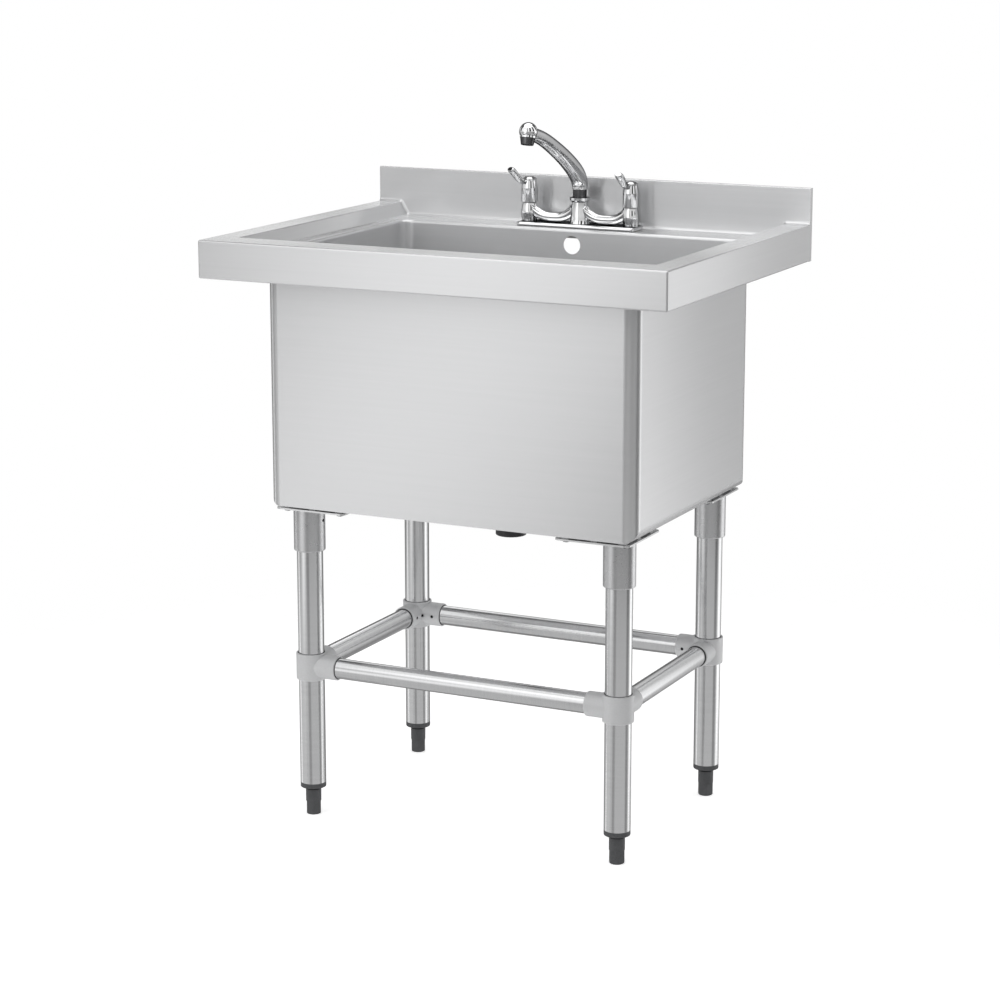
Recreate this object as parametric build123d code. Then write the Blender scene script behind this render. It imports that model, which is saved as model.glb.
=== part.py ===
from build123d import *
import math
import os

# A deep wash sink on a tubular stand, with a two-lever deck mixer tap.
# Millimetres. X runs to the user's right, Y to the wall, Z up from the floor.

# Sheet-metal top
sheet = 1.2
bowl_width = 600.0  # inside, left to right
bowl_length = 438.0  # inside, front to back
bowl_depth = 384.0  # bowl floor up to the deck
bowl_corner = 20.0  # outside radius of the four upright corners
bowl_turn = 18.0  # outside radius of the left and right bottom edges
collar_drop = 8.0  # how far the deck turns down into the bowl
collar_bend = 5.0  # radius of that turn
side_ledge = 23.0  # flat deck beside the bowl
side_slope = 13.0
side_band = 39.0  # raised rim
front_ledge = 7.5
front_slope = 8.0
front_band = 53.0
rear_deck = 59.5  # carries the tap
recess_drop = 21.0  # deck below the rim
apron_height = 57.0
apron_hem = 12.0
rear_apron = 22.0  # below the deck, short at the wall side
edge_bend = 2.5
foot_bend = 3.0  # where a slope meets the deck
cove_bend = 5.0  # where the deck turns up into the upstand
upstand_height = 56.0  # above the rim
upstand_thickness = 9.0
upstand_bend = 1.5
overflow_bore = 29.0
overflow_drop = 46.0  # hole centre below the rim

# Legs, sockets and their plates
leg_diameter = 40.0
leg_wall = 1.5
leg_length = 437.5
leg_inset_side = 42.0  # leg axis in from the bowl's inner face
leg_inset_front = 47.0
leg_inset_rear = 42.0
slip_gap = 0.1  # radial clearance of a tube in a socket
socket_wall = 4.0
socket_length = 70.0
socket_roof = 3.0
socket_screw_drop = 22.0
plate_size = 118.0
plate_thickness = 2.5
plate_corner = 8.0
plate_margin = 2.0  # plate edge in from the bowl's front or rear face
plate_side_margin = 10.0
pad_size = 11.0
pad_height = 3.0
pad_pitch = 45.0
stud_diameter = 6.0
stud_gap = 0.3
stud_tail = 0.8  # stud left below its nut
nut_width = 10.0  # across flats
nut_height = 3.6
nut_flange = 14.0
nut_flange_height = 1.2
thread_gap = 0.05

# Rails and the cast corner fittings
rail_diameter = 31.5
rail_wall = 1.2
rail_height = 240.0
fitting_height = 42.0
fitting_wall = 3.4
rail_socket_wall = 3.0
fitting_reach = 48.5  # leg axis to the mouth of a rail socket
fitting_web = 4.0  # metal between the leg and the end of a rail
fitting_edge = 1.2
grub_diameter = 5.0
grub_key = 2.5
grub_key_depth = 1.6
grub_sink = 0.5
grub_stand = 1.5  # how far a leg's grub screw stands out of its fitting

# Adjustable feet
foot_diameter = 24.0
foot_height = 40.5
foot_flats = 22.0
foot_flat_height = 21.0
foot_edge = 2.5
foot_gap = 1.0
foot_stud = 12.0
foot_stud_length = 44.0
insert_flange = 8.0
insert_collar = 3.0
insert_collar_radius = 9.8
insert_length = 32.0
insert_gap = 0.1
insert_edge = 1.0

# Waste
dish_radius = 47.0
dish_drop = 4.0
dish_run = 4.0
waste_hole = 50.0
strainer_radius = 41.0
strainer_well = 18.0
strainer_drop = 6.0
strainer_holes = 8
strainer_hole = 6.0
strainer_hole_circle = 11.2
strainer_edge = 0.8
strainer_lip = 1.0
gasket_height = 1.5
gasket_inset = 2.0
waste_gasket_radius = 33.0
bell_radius = 33.0
bell_height = 14.0
bell_rim = 5.0
bell_taper = 3.0
throat_radius = 23.0  # the bell's bore at its face
tail_radius = 23.9
waste_bore = 40.0
waste_drop = 56.0  # bell face to the end of the tail
tail_chamfer = 1.0
spider_drop = 16.0  # bell face to the top of the spider
spider_height = 6.0
spider_arm = 5.0
spider_boss = 7.0
waste_screw = 6.0
waste_screw_head = 11.0
waste_screw_head_height = 2.6
waste_screw_chamfer = 1.3
waste_screw_slot = 1.4
waste_screw_tail = 3.0  # screw left below the spider

# Mixer tap
tap_centres = 176.0
tap_plate_length = 204.0
tap_plate_width = 46.0
tap_plate_height = 5.7
tap_plate_corner = 7.0
tap_plate_edge = 3.8
tap_gasket = 0.8
tap_gasket_margin = 4.0
pillar_top_radius = 11.2
pillar_foot_radius = 13.9
pillar_height = 29.0  # above the plate
pillar_flare_radius = 12.8
pillar_flare_height = 7.0
arm_radius = 7.4
arm_end_radius = 9.6
arm_clearance = 0.4  # underside of the arm above the plate
arm_crown = 3.0  # lifts the arm's ends to the tops of the pillars
arm_sweep = 3.0  # how sharply the arm bends up at its ends
arm_root = 5.0  # the arm's end short of the pillar's axis
arm_overlap = 4.0  # the arm's end inside the boss
boss_radius = 12.6
boss_foot_radius = 21.0
boss_flare = 2.2
boss_flare_height = 9.0
boss_height = 41.0
boss_rim_radius = 15.6
boss_rim_height = 4.0
boss_rim_slope = 3.0
valve_radius = 8.5
valve_depth = 20.0
valve_floor = 4.0  # metal under the spindle
valve_gap = 0.5  # under the valve body in its pocket
valve_flange = 1.5
valve_flange_gap = 1.5  # round the flange inside the skirt
valve_hexagon_height = 4.0
valve_neck_radius = 6.0
valve_height = 11.0  # above the pillar
spindle_radius = 4.0
spindle_square = 6.0
spindle_grip = 9.0
spindle_end_gap = 0.3
grip_gap = 0.5  # valve body to the spindle's square
running_gap = 0.05
tap_tail_radius = 10.45
tap_shank_radius = 10.7  # the tail inside the plate, deck and backnut
tap_tail_bore = 7.0
tap_tail_length = 52.0
tap_tail_spigot = 6.0
tap_tail_spigot_radius = 8.5
tap_tail_chamfer = 1.0
spigot_end_gap = 0.2
deck_hole_gap = 0.6
backnut_width = 27.0
backnut_height = 8.0
washer_radius = 16.0
washer_height = 2.0

# Lever handles
skirt_radius = 12.8
skirt_wall = 2.2
skirt_gap = 1.2
skirt_height = 22.0
cone_height = 12.0
crown_radius = 11.0
crown_band = 3.0
crown_height = 5.2
crown_edge = 3.4
lever_length = 44.0
lever_rise = 22.0
lever_drop = 1.0  # the arm's axis below the top of the cone
lever_roof_gap = 0.2
lever_neck = 4.6
lever_tip_width = 7.2
lever_tip_height = 4.8
left_turn = -19.0  # degrees, as the levers stand
right_turn = -4.0
lever_screw_radius = 2.0
lever_screw_gap = 0.6
lever_screw_length = 7.0  # inside the spindle
lever_screw_head_radius = 4.5
lever_screw_head_height = 1.9
lever_screw_key = 3.0
lever_screw_key_depth = 1.3
tapping_depth = 1.0  # thread left past the end of the screw
cap_radius = 6.0
cap_height = 1.6
cap_stand = 0.4
cap_edge = 0.6
cap_pocket = 2.0  # room for the screw head under the cap

# Spout
nut_radius = 10.8
nut_ring_height = 13.0
nut_ribs = 26
nut_rib_depth = 0.5
nut_rib_width = 1.0
nut_rib_margin = 1.5
nut_spigot_radius = 9.9
nut_spigot_height = 7.0
journal_radius = 8.0
tail_plug_radius = 9.2
tail_plug_height = 13.0
ring_section = 2.2
ring_side_gap = 0.1
spout_base_radius = 12.2
spout_swell_radius = 14.2  # just above the base
spout_tip_radius = 10.2
spout_base_height = 2.0
spout_reach = 190.0
spout_rise = 106.0
spout_swell_share = 0.2  # of the length, from the base to the swell
spout_stations = 9
spout_gap = 0.3
ball_radius = 14.0
nozzle_radius = 12.2
nozzle_drop = 9.4
nozzle_lean = 12.0  # degrees, the outlet leans away from the boss
aerator_radius = 11.8
aerator_height = 11.5
aerator_taper = 2.2
aerator_edge = 1.5
aerator_thread = 3.0
aerator_thread_wall = 2.0
aerator_bore = 8.0
aerator_screen = 2.0
aerator_screen_sink = 1.0
aerator_hole_radius = 1.4
aerator_pitch = 4.5

# Places that follow from the sizes above
half_width = bowl_width / 2 + side_ledge + side_slope + side_band
worktop_depth = front_band + front_slope + front_ledge + bowl_length + rear_deck + upstand_thickness
front_y = -worktop_depth / 2
back_y = worktop_depth / 2
bowl_front = front_y + front_band + front_slope + front_ledge
bowl_back = bowl_front + bowl_length
bowl_y = (bowl_front + bowl_back) / 2
splash_y = bowl_back + rear_deck
tap_y = bowl_back + rear_deck / 2

tube_low = foot_height + foot_gap + insert_collar + insert_flange
tube_top = tube_low + leg_length
socket_top = tube_top + socket_roof
plate_top = socket_top + plate_thickness
bowl_under = plate_top + pad_height
floor_z = bowl_under + sheet
deck_z = floor_z + bowl_depth
rim_z = deck_z + recess_drop
apron_z = rim_z - apron_height
rear_apron_z = deck_z - rear_apron
upstand_z = rim_z + upstand_height
collar_z = deck_z - collar_drop
seam_x = bowl_width / 2 + sheet - bowl_corner

leg_x = bowl_width / 2 - leg_inset_side
leg_front_y = bowl_front - sheet + leg_inset_front
leg_rear_y = bowl_back + sheet - leg_inset_rear
leg_radius = leg_diameter / 2
leg_bore = leg_radius + slip_gap
rail_radius = rail_diameter / 2
rail_bore = rail_radius + slip_gap
rail_stop = leg_bore + fitting_web
seated = (Align.CENTER, Align.CENTER, Align.MIN)
corners = {
    "front_left": (-1, -1),
    "front_right": (1, -1),
    "rear_left": (-1, 1),
    "rear_right": (1, 1),
}


def block(x_low, x_high, y_low, y_high, z_low, z_high):
    middle = Pos((x_low + x_high) / 2, (y_low + y_high) / 2, (z_low + z_high) / 2)
    return middle * Box(x_high - x_low, y_high - y_low, z_high - z_low)


def rod(radius, z_low, z_high):
    return Pos(0, 0, z_low) * extrude(Circle(radius), z_high - z_low)


def ring(radius, bore, z_low, z_high):
    return Pos(0, 0, z_low) * extrude(Circle(radius) - Circle(bore), z_high - z_low)


def turned(points):
    """A solid of revolution about Z from (radius, height) points."""
    outline = Polyline([(r, 0, z) for r, z in points], close=True)
    return revolve(make_face(outline), Axis.Z, 360)


def flared(foot_radius, foot_z, middle_radius, middle_z, top_radius, top_z):
    """A solid of revolution about Z whose side sweeps out to its foot."""
    side = Spline(
        (foot_radius, 0, foot_z), (middle_radius, 0, middle_z), (top_radius, 0, top_z),
        tangents=((-1, 0, 0.25), (-0.04, 0, 1)),
    )
    rest = Polyline((top_radius, 0, top_z), (0, 0, top_z), (0, 0, foot_z), (foot_radius, 0, foot_z))
    return revolve(make_face(Wire([*side.edges(), *rest.edges()])), Axis.Z, 360)


def edges_near(shape, axis, where, along):
    """Edges that run along one axis and lie at a place on another."""
    run = shape.edges().filter_by(along)
    return run.filter_by_position(axis, where - 0.01, where + 0.01)


def leg_place(side, end):
    y = leg_front_y if end < 0 else leg_rear_y
    return side * leg_x, y


# Worktop and bowl


def recess(inset):
    """The sunk deck with its sloped sides, grown by inset into the metal."""
    over = 5.0
    low = deck_z - inset
    high = rim_z + over

    side_lean = side_slope / recess_drop
    front_lean = front_slope / recess_drop

    def side_at(z):
        flat = bowl_width / 2 + side_ledge + inset * math.hypot(1, side_lean)
        return flat + side_lean * (z - deck_z)

    def front_at(z):
        flat = bowl_front - front_ledge - inset * math.hypot(1, front_lean)
        return flat - front_lean * (z - deck_z)

    back = splash_y + inset
    across = Polyline(
        (-side_at(low), 0, low),
        (side_at(low), 0, low),
        (side_at(high), 0, high),
        (-side_at(high), 0, high),
        close=True,
    )
    along = Polyline(
        (0, front_at(low), low), (0, back, low), (0, back, high), (0, front_at(high), high), close=True
    )
    long_way = extrude(make_face(across), 2 * worktop_depth, dir=(0, 1, 0), both=True)
    cross_way = extrude(make_face(along), 2 * half_width, dir=(1, 0, 0), both=True)
    return long_way & cross_way


def bowl_prism(grow, z_low, z_high):
    outline = RectangleRounded(
        bowl_width + 2 * grow, bowl_length + 2 * grow, bowl_corner - sheet + grow
    )
    return Pos(0, bowl_y, z_low) * extrude(outline, z_high - z_low)


def worktop():
    skin = block(-half_width, half_width, front_y, back_y, apron_z, rim_z)
    corner_edges = skin.edges().filter_by(Axis.Z).group_by(Axis.Y)[0]
    top_edges = skin.edges().group_by(Axis.Z)[-1].sort_by(Axis.Y)[:-1]
    foot_edges = skin.edges().group_by(Axis.Z)[0].sort_by(Axis.Y)[:-1]
    skin = fillet(corner_edges + top_edges + foot_edges, edge_bend)
    upstand = block(-half_width, half_width, splash_y, back_y, apron_z, upstand_z)
    upstand_edges = upstand.edges().filter_by(Axis.X).group_by(Axis.Z)[-1]
    skin = skin + fillet(upstand_edges, upstand_bend)
    skin = skin - recess(0)
    rim_edges = edges_near(skin, Axis.Z, rim_z, Axis.Y)
    rim_edges = rim_edges.filter_by(lambda e: abs(e.center().X) < half_width - side_band / 2)
    front_rim = edges_near(skin, Axis.Z, rim_z, Axis.X)
    front_rim = front_rim.filter_by(lambda e: front_y + front_band / 2 < e.center().Y < bowl_y)
    skin = fillet(rim_edges + front_rim, edge_bend)
    deck_edges = edges_near(skin, Axis.Z, deck_z, Axis.Y)
    front_deck = edges_near(skin, Axis.Z, deck_z, Axis.X).sort_by(Axis.Y)[:1]
    skin = fillet(deck_edges + front_deck, foot_bend)
    cove = edges_near(skin, Axis.Z, deck_z, Axis.X).sort_by(Axis.Y)[-1:]
    skin = fillet(cove, cove_bend)
    skin = skin - bowl_prism(0, apron_z, deck_z)
    mouth = skin.edges().filter_by_position(Axis.Z, deck_z - 0.01, deck_z + 0.01)
    mouth = mouth.filter_by(lambda e: bowl_front - 1 < e.center().Y < bowl_back + 1)
    mouth = mouth.filter_by(lambda e: abs(e.center().X) < bowl_width / 2 + 1)
    skin = fillet(mouth, collar_bend)

    inner_x = half_width - sheet
    hollow = block(-inner_x, inner_x, front_y + sheet, back_y - sheet, apron_z + sheet, rim_z - sheet)
    hollow = hollow + block(
        -inner_x, inner_x, splash_y + sheet, back_y - sheet, apron_z + sheet, upstand_z - sheet
    )
    hollow = hollow - recess(sheet)
    hollow = hollow - bowl_prism(sheet, collar_z, deck_z)
    root = hollow.edges().filter_by_position(Axis.Z, deck_z - sheet - 0.01, deck_z - sheet + 0.01)
    root = root.filter_by(lambda e: bowl_front - 2 < e.center().Y < bowl_back + 2)
    root = root.filter_by(lambda e: abs(e.center().X) < bowl_width / 2 + 2)
    hollow = fillet(root, collar_bend - sheet)
    mouth_x = half_width - apron_hem
    under = block(
        -mouth_x, mouth_x, front_y + apron_hem, back_y - apron_hem, apron_z - 1, apron_z + sheet
    )
    top = skin - hollow - under
    low_rear = block(-inner_x, inner_x, back_y - apron_hem, back_y + 1, apron_z - 1, rear_apron_z)
    rear_hem = block(
        -inner_x, inner_x, back_y - apron_hem, back_y - sheet / 2, rear_apron_z, rear_apron_z + sheet
    )
    top = top - low_rear + rear_hem
    for side in (-1, 1):
        place = Pos(side * tap_centres / 2, tap_y, 0)
        top = top - place * rod(tap_shank_radius + deck_hole_gap, deck_z - 3 * sheet, deck_z + sheet)
    return top


def bowl_shell():
    """The whole welded bowl, which is then cut along its seams."""

    def shape(inset):
        prism = bowl_prism(sheet - inset, bowl_under + inset, collar_z)
        half = bowl_width / 2 + sheet - inset
        low_y = bowl_front - 2 * sheet
        high_y = bowl_back + 2 * sheet
        tub = block(-half, half, low_y, high_y, bowl_under + inset, collar_z)
        turns = tub.edges().filter_by(Axis.Y).group_by(Axis.Z)[0]
        return prism & fillet(turns, bowl_turn - inset)

    shell = shape(0) - shape(sheet)
    middle = Pos(0, bowl_y, 0)
    dish_foot = dish_radius - dish_run
    shell = shell - middle * rod(dish_radius, bowl_under - 1, floor_z + 1)
    dish = turned(
        [
            (waste_hole / 2, floor_z - dish_drop),
            (dish_foot, floor_z - dish_drop),
            (dish_radius, floor_z),
            (dish_radius, bowl_under),
            (dish_foot, bowl_under - dish_drop),
            (waste_hole / 2, bowl_under - dish_drop),
        ]
    )
    shell = shell + middle * dish
    return shell


def bowl_panel(y_low):
    """A flat end wall, set in between the bent corners of the wrapper."""
    return block(-seam_x, seam_x, y_low, y_low + sheet, floor_z, collar_z)


def bowl_wrapper():
    return bowl_shell() - bowl_panel(bowl_front - sheet) - bowl_panel(bowl_back)


def bowl_front_panel():
    return bowl_panel(bowl_front - sheet)


def bowl_rear_panel():
    hole = Rot(-90, 0, 0) * rod(overflow_bore / 2, -sheet, 2 * sheet)
    return bowl_panel(bowl_back) - Pos(0, bowl_back, rim_z - overflow_drop) * hole


# Stand


def plate_middle(side, end):
    x = side * (bowl_width / 2 + sheet - plate_side_margin - plate_size / 2)
    if end < 0:
        y = bowl_front - sheet + plate_margin + plate_size / 2
    else:
        y = bowl_back + sheet - plate_margin - plate_size / 2
    return x, y


def stud_places(side, end):
    x, y = plate_middle(side, end)
    steps = (-pad_pitch, pad_pitch)
    return [(x + dx, y + dy) for dx in steps for dy in steps]


def leg_plate(side, end):
    x, y = plate_middle(side, end)
    outline = RectangleRounded(plate_size, plate_size, plate_corner)
    plate = Pos(x, y, socket_top) * extrude(outline, plate_thickness)
    steps = (-pad_pitch, 0, pad_pitch)
    for dx in steps:
        for dy in steps:
            if dx or dy:
                pad = Pos(x + dx, y + dy, plate_top) * extrude(Rectangle(pad_size, pad_size), pad_height)
                plate = plate + pad
    for sx, sy in stud_places(side, end):
        stud_hole = rod(stud_diameter / 2 + stud_gap, socket_top - 1, bowl_under + 1)
        plate = plate - Pos(sx, sy, 0) * stud_hole
    return plate


def weld_studs():
    low = socket_top - nut_height - stud_tail
    return [
        Pos(x, y, 0) * rod(stud_diameter / 2, low, bowl_under)
        for side, end in corners.values()
        for x, y in stud_places(side, end)
    ]


def stud_nuts():
    bore = stud_diameter / 2 + thread_gap
    flange = ring(nut_flange / 2, bore, socket_top - nut_flange_height, socket_top)
    body = Pos(0, 0, socket_top - nut_height) * extrude(
        RegularPolygon(nut_width / 2, 6, major_radius=False) - Circle(bore),
        nut_height - nut_flange_height,
    )
    return [
        Pos(x, y, 0) * (flange + body)
        for side, end in corners.values()
        for x, y in stud_places(side, end)
    ]


def cross_hole(direction, height, inner, outer):
    """A round hole of grub-screw size along a level direction in degrees."""
    start = Vector(inner, 0, 0).rotate(Axis.Z, direction)
    along = Vector(1, 0, 0).rotate(Axis.Z, direction)
    mouth = Plane(origin=(start.X, start.Y, height), z_dir=along)
    return extrude(mouth * Circle(grub_diameter / 2), outer - inner)


def inward(side):
    return 180.0 if side > 0 else 0.0


def leg_socket(side, end):
    x, y = leg_place(side, end)
    low = socket_top - socket_length
    cup = rod(leg_bore + socket_wall, low, socket_top)
    rim = cup.edges().filter_by(GeomType.CIRCLE).group_by(Axis.Z)[0]
    cup = fillet(rim, socket_wall / 2)
    cup = cup - rod(leg_bore, low, tube_top)
    height = socket_top - socket_screw_drop
    cup = cup - cross_hole(inward(side), height, leg_radius - 1, leg_bore + 2 * socket_wall)
    return Pos(x, y, 0) * cup


def leg_tube(side, end):
    x, y = leg_place(side, end)
    return Pos(x, y, 0) * ring(leg_radius, leg_radius - leg_wall, tube_low, tube_top)


def fitting_directions(side, end):
    """Level directions, in degrees, of the cross rail and the side rail."""
    cross = 180.0 if side > 0 else 0.0
    along = -90.0 if end > 0 else 90.0
    return cross, along


def middle_direction(side, end):
    return math.degrees(math.atan2(-end, -side))


def rail_socket(direction):
    outer = rail_bore + rail_socket_wall
    toward = Plane(origin=(0, 0, rail_height), z_dir=Vector(1, 0, 0).rotate(Axis.Z, direction))
    body = extrude(toward * Circle(outer), fitting_reach)
    lip = body.edges().filter_by(GeomType.CIRCLE)
    lip = lip.sort_by_distance((0, 0, rail_height))[-1:]
    return fillet(lip, fitting_edge)


def rail_hole(direction):
    start = Vector(rail_stop, 0, rail_height).rotate(Axis.Z, direction)
    toward = Plane(origin=start, z_dir=Vector(1, 0, 0).rotate(Axis.Z, direction))
    return extrude(toward * Circle(rail_bore), fitting_reach)


def rail_screw_frame(side, end, which):
    """Where a rail's grub screw stands: its foot on the rail and its direction."""
    cross, along = fitting_directions(side, end)
    own, other = (cross, along) if which == 0 else (along, cross)
    reach = (rail_stop + fitting_reach) / 2
    foot = Vector(reach, 0, 0).rotate(Axis.Z, own)
    out = Vector(1, 0, 0).rotate(Axis.Z, other)
    return foot, out


def corner_fitting(side, end):
    x, y = leg_place(side, end)
    low = rail_height - fitting_height / 2
    body = rod(leg_bore + fitting_wall, low, low + fitting_height)
    body = fillet(body.edges().filter_by(GeomType.CIRCLE), fitting_edge)
    cross, along = fitting_directions(side, end)
    body = body + rail_socket(cross) + rail_socket(along)
    body = body - rod(leg_bore, low - 1, low + fitting_height + 1)
    body = body - rail_hole(cross) - rail_hole(along)
    body = body - cross_hole(middle_direction(side, end), rail_height, leg_radius - 1, fitting_reach)
    for which in (0, 1):
        foot, out = rail_screw_frame(side, end, which)
        seat = Plane(origin=(foot.X, foot.Y, rail_height), z_dir=out)
        body = body - extrude(seat * Circle(grub_diameter / 2), rail_radius + 2 * fitting_wall)
    return Pos(x, y, 0) * body


def rail(name):
    if name in ("front", "rear"):
        y = leg_front_y if name == "front" else leg_rear_y
        length = 2 * (leg_x - rail_stop)
        start = Plane(origin=(-length / 2, y, rail_height), z_dir=(1, 0, 0))
    else:
        x = -leg_x if name == "left" else leg_x
        length = leg_rear_y - leg_front_y - 2 * rail_stop
        start = Plane(origin=(x, leg_front_y + rail_stop, rail_height), z_dir=(0, 1, 0))
    return extrude(start * (Circle(rail_radius) - Circle(rail_radius - rail_wall)), length)


def grub(seat, length):
    """A socket set screw standing on the tube at seat, pointing outward."""
    screw = extrude(seat * Circle(grub_diameter / 2 - thread_gap), length)
    key = seat.offset(length - grub_key_depth) * RegularPolygon(grub_key / 2, 6, major_radius=False)
    return screw - extrude(key, grub_key_depth + 1)


def grub_screws():
    screws = []
    for side, end in corners.values():
        x, y = leg_place(side, end)
        turn = inward(side)
        out = Vector(1, 0, 0).rotate(Axis.Z, turn)
        foot = Vector(leg_radius, 0, 0).rotate(Axis.Z, turn)
        height = socket_top - socket_screw_drop
        seat = Plane(origin=(x + foot.X, y + foot.Y, height), z_dir=out)
        screws.append(grub(seat, slip_gap + socket_wall - grub_sink))
        turn = middle_direction(side, end)
        out = Vector(1, 0, 0).rotate(Axis.Z, turn)
        foot = Vector(leg_radius, 0, 0).rotate(Axis.Z, turn)
        seat = Plane(origin=(x + foot.X, y + foot.Y, rail_height), z_dir=out)
        screws.append(grub(seat, slip_gap + fitting_wall + grub_stand))
        for which in (0, 1):
            foot, out = rail_screw_frame(side, end, which)
            start = foot + out * rail_radius
            seat = Plane(origin=(x + start.X, y + start.Y, rail_height), z_dir=out)
            screws.append(grub(seat, slip_gap + rail_socket_wall - grub_sink))
    return screws


def tube_insert(side, end):
    x, y = leg_place(side, end)
    low = tube_low - insert_flange
    flange = rod(leg_radius, low, tube_low)
    flange = fillet(flange.edges().filter_by(GeomType.CIRCLE).group_by(Axis.Z)[0], insert_edge)
    collar = rod(insert_collar_radius, low - insert_collar, low)
    plug = rod(leg_radius - leg_wall - insert_gap, tube_low, tube_low + insert_length)
    bore = rod(foot_stud / 2 + running_gap, foot_height, tube_low + insert_length + 1)
    return Pos(x, y, 0) * (flange + collar + plug - bore)


def foot(side, end):
    x, y = leg_place(side, end)
    body = rod(foot_diameter / 2, 0, foot_height)
    body = fillet(body.edges().filter_by(GeomType.CIRCLE).group_by(Axis.Z)[0], foot_edge)
    wrench = extrude(RegularPolygon(foot_flats / 2, 6, major_radius=False), foot_flat_height)
    waste = rod(foot_diameter, 0, foot_flat_height) - wrench
    stud = rod(foot_stud / 2, foot_height, foot_height + foot_stud_length)
    return Pos(x, y, 0) * (body - waste + stud)


# Waste

dish_top = floor_z - dish_drop  # bowl metal under the strainer flange
strainer_under = dish_top + gasket_height
bell_face = bowl_under - dish_drop - gasket_height
spider_top = bell_face - spider_drop


def waste_strainer():
    well_low = strainer_under - strainer_drop
    top = strainer_under + sheet
    flange = rod(strainer_radius, strainer_under, top)
    edge = flange.edges().filter_by(GeomType.CIRCLE).group_by(Axis.Z)[-1]
    body = chamfer(edge, strainer_edge) + rod(strainer_well, well_low, top)
    body = body - rod(strainer_well - sheet, well_low + sheet, top + 1)
    lip = body.edges().filter_by(GeomType.CIRCLE).group_by(Axis.Z)[-1].sort_by(SortBy.LENGTH)[:1]
    body = fillet(lip, strainer_lip)
    hole = Pos(strainer_hole_circle, 0, 0) * rod(strainer_hole / 2, well_low - 1, strainer_under)
    for i in range(strainer_holes):
        body = body - Rot(0, 0, 360 / strainer_holes * i) * hole
    body = body - rod(waste_screw / 2 + thread_gap, well_low - 1, strainer_under)
    return Pos(0, bowl_y, 0) * body


def waste_top_gasket():
    return Pos(0, bowl_y, 0) * ring(strainer_radius - gasket_inset, waste_hole / 2, dish_top, strainer_under)


def waste_lower_gasket():
    return Pos(0, bowl_y, 0) * ring(waste_gasket_radius, waste_hole / 2, bell_face, bowl_under - dish_drop)


def waste_body():
    low = bell_face - waste_drop
    bore = waste_bore / 2
    shell = turned(
        [
            (throat_radius, bell_face),
            (bell_radius, bell_face),
            (bell_radius, bell_face - bell_rim),
            (bell_radius - bell_taper, bell_face - bell_height + bell_taper),
            (tail_radius, bell_face - bell_height),
            (tail_radius, low + tail_chamfer),
            (tail_radius - tail_chamfer, low),
            (bore, low),
            (bore, bell_face - bell_height),
        ]
    )
    spider = rod(spider_boss, spider_top - spider_height, spider_top)
    for turn in (0, 60, 120):
        arm = Pos(0, 0, spider_top - spider_height / 2) * Box(waste_bore + 2, spider_arm, spider_height)
        spider = spider + Rot(0, 0, turn) * arm
    spider = spider & rod(bore + 1, spider_top - spider_height, spider_top)
    body = shell + spider - rod(waste_screw / 2 + thread_gap, low, bell_face)
    return Pos(0, bowl_y, 0) * body


def waste_centre_screw():
    head_low = strainer_under - strainer_drop + sheet
    head_top = head_low + waste_screw_head_height
    low = spider_top - spider_height - waste_screw_tail
    head = rod(waste_screw_head / 2, head_low, head_top)
    head = chamfer(head.edges().group_by(Axis.Z)[-1], waste_screw_chamfer)
    slot = Pos(0, 0, head_top) * Box(waste_screw_head, waste_screw_slot, 2 * waste_screw_slot)
    shank = rod(waste_screw / 2, low, head_low)
    return Pos(0, bowl_y, 0) * (head - slot + shank)


# Mixer tap

plate_low = deck_z + tap_gasket
tap_plate_top = plate_low + tap_plate_height
pillar_top = tap_plate_top + pillar_height
boss_top = tap_plate_top + boss_height
nut_low = boss_top
nut_top = nut_low + nut_ring_height
spout_low = nut_top + spout_gap
tail_plug_top = nut_low - nut_spigot_height - spout_gap
ring_middle = tail_plug_top - tail_plug_height / 2
valve_low = pillar_top - valve_depth + valve_gap
grip_low = pillar_top + valve_height + grip_gap
grip_top = grip_low + spindle_grip
lever_low = pillar_top + skirt_gap
cone_low = lever_low + skirt_height
cone_top = cone_low + cone_height
crown_top = cone_top + crown_height
screw_seat = crown_top - cap_height - cap_pocket


def tap_gasket_sheet():
    outline = RectangleRounded(
        tap_plate_length - 2 * tap_gasket_margin,
        tap_plate_width - 2 * tap_gasket_margin,
        tap_plate_corner - tap_gasket_margin,
    )
    pad = Pos(0, tap_y, deck_z) * extrude(outline, tap_gasket)
    for side in (-1, 1):
        place = Pos(side * tap_centres / 2, tap_y, 0)
        pad = pad - place * rod(tap_shank_radius + deck_hole_gap, deck_z - 1, deck_z + 2 * tap_gasket)
    return pad


def tap_arm(side):
    """The cast arm that swoops from a pillar to the centre boss."""
    start = tap_centres / 2 - arm_root
    stop = boss_radius - arm_overlap
    half = (start - stop) / 2
    middle = (start + stop) / 2
    low = tap_plate_top + arm_clearance + arm_radius
    high = pillar_top - arm_end_radius + arm_crown
    sections = []
    for i in range(9):
        u = i / 4 - 1
        lift = abs(u) ** arm_sweep
        x = middle - u * half
        z = low + (high - low) * lift
        slope = arm_sweep * (high - low) * abs(u) ** (arm_sweep - 1) * math.copysign(1, u)
        radius = arm_radius + (arm_end_radius - arm_radius) * lift
        along = Vector(-half, 0, slope)
        frame = Plane(origin=(x, 0, z), x_dir=(0, 1, 0), z_dir=along)
        sections.append(frame * Circle(radius))
    arm = loft(sections)
    return arm if side > 0 else mirror(arm, Plane.YZ)


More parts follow.
